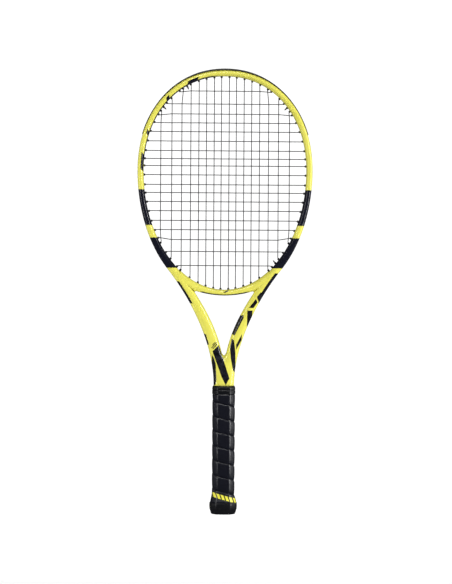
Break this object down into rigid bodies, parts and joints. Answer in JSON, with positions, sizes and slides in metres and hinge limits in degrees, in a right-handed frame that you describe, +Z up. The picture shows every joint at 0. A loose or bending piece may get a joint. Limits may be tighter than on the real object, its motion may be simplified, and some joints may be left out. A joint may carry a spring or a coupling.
{
  "type": "tennis racket",
  "caption": "Tennis racket: hollow hairpin frame with an open throat, woven string bed, wound octagonal grip, rubber collar and butt cap.",
  "frame": {"origin": "centre of the flat end of the butt cap", "axes": "+Z up the handle to the tip of the head, +X across the head, the front face looks along -Y"},
  "size_m": [0.27, 0.0386, 0.6858],
  "materials": {
    "frame_paint": "gloss",
    "nylon_trim": "satin",
    "string": "satin",
    "handle_foam": "matte",
    "grip": "matte",
    "collar": "matte",
    "staple_steel": "satin",
    "weight": "matte"
  },
  "bodies": {
    "racket": {"frame_hairpin": "frame_paint", "throat_bridge": "frame_paint", "bumper_guard": "nylon_trim", "grommet_strip_left": "nylon_trim", "grommet_strip_right": "nylon_trim", "bridge_grommet_strip": "nylon_trim", "main_string": "string", "cross_string": "string", "handle_pallet_front": "handle_foam", "handle_pallet_back": "handle_foam", "base_grip": "grip", "finishing_tape": "nylon_trim", "butt_cap": "nylon_trim", "butt_cap_staple_1": "staple_steel", "butt_cap_staple_2": "staple_steel", "butt_cap_staple_3": "staple_steel", "butt_cap_staple_4": "staple_steel", "foam_plug_left": "handle_foam", "foam_plug_right": "handle_foam", "balance_weight": "weight"},
    "butt_cap_door": {"butt_cap_door": "nylon_trim"},
    "rubber_collar": {"rubber_collar": "collar"}
  },
  "joints": [
    {"name": "door_pull", "type": "slide", "parent": "racket", "child": "butt_cap_door", "axis": [0, 0, -1], "range_m": [0, 0.012]},
    {"name": "collar_slide", "type": "slide", "parent": "racket", "child": "rubber_collar", "axis": [0, 0, 1], "range_m": [0, 0.009]}
  ]
}
